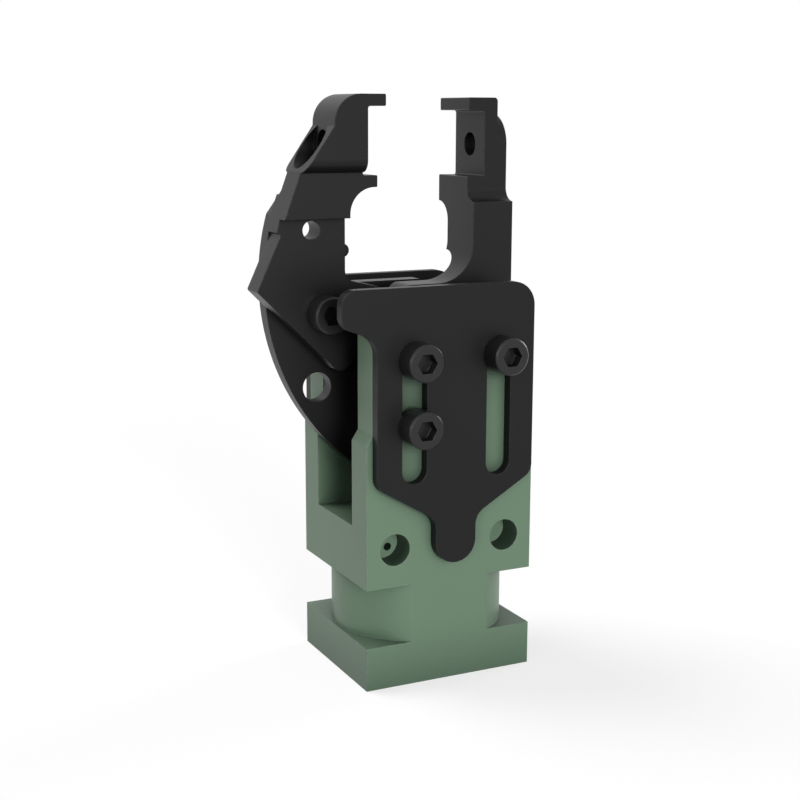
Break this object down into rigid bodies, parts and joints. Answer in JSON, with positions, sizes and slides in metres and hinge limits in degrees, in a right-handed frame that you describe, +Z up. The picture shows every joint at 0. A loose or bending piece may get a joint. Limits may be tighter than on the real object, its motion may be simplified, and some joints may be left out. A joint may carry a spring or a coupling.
{
  "type": "robot gripper",
  "caption": "Spring-closed two-jaw neck gripper: green slotted body with a turned neck, a fixed jaw, a swinging jaw on a cam lever, and slotted guide plates held by cap screws.",
  "frame": {"origin": "centre of the foot's underside, on the axis of the foot thread", "axes": "+Z up the body to the jaw tips, +X from the moving jaw to the fixed jaw, the front plate faces -Y"},
  "size_m": [0.0717, 0.0616, 0.1576],
  "materials": {
    "green_plastic": "satin",
    "black_plastic": "satin",
    "black_steel": "black oxide",
    "steel": "ground",
    "brass": "turned",
    "spring_steel": "drawn wire"
  },
  "bodies": {
    "frame": {"body": "green_plastic", "foot_insert": "brass", "front_thread_inserts": "brass", "rear_thread_inserts": "brass", "front_plate_screws": "black_steel", "rear_plate_screws": "black_steel", "fixed_jaw": "black_plastic", "fixed_jaw_screw": "black_steel", "fixed_jaw_dowel": "steel", "pivot_pin": "steel", "stop_pin": "steel", "pivot_spacer": "steel", "closing_spring": "spring_steel", "preload_screw": "black_steel"},
    "moving_jaw": {"moving_finger": "black_plastic", "cam_lever": "black_plastic", "lever_bush": "brass", "finger_screw": "black_steel", "spring_pin": "steel"},
    "cup": {"spring_cup": "steel"},
    "front_guide": {"front_plate": "black_plastic"},
    "rear_guide": {"rear_plate": "black_plastic"}
  },
  "joints": [
    {"name": "jaw_hinge", "type": "hinge", "parent": "frame", "child": "moving_jaw", "pos_m": [0, 0, 0.098], "axis": [0, -1, 0], "range_deg": [0, 18], "stiffness_Nm_per_rad": 2, "springref_deg": -4.58, "deforming": ["closing_spring"]},
    {"name": "cup_swivel", "type": "hinge", "parent": "moving_jaw", "child": "cup", "pos_m": [-0.009, 0, 0.064], "axis": [0, -1, 0], "range_deg": [-18, 0]},
    {"name": "front_plate_slide", "type": "slide", "parent": "frame", "child": "front_guide", "axis": [0, 0, 1], "range_m": [-0.0013, 0.0122]},
    {"name": "rear_plate_slide", "type": "slide", "parent": "frame", "child": "rear_guide", "axis": [0, 0, 1], "range_m": [0, 0.0136]}
  ],
  "couplings": [
    {"joint": "cup_swivel", "follows": "jaw_hinge", "ratio": -1}
  ]
}
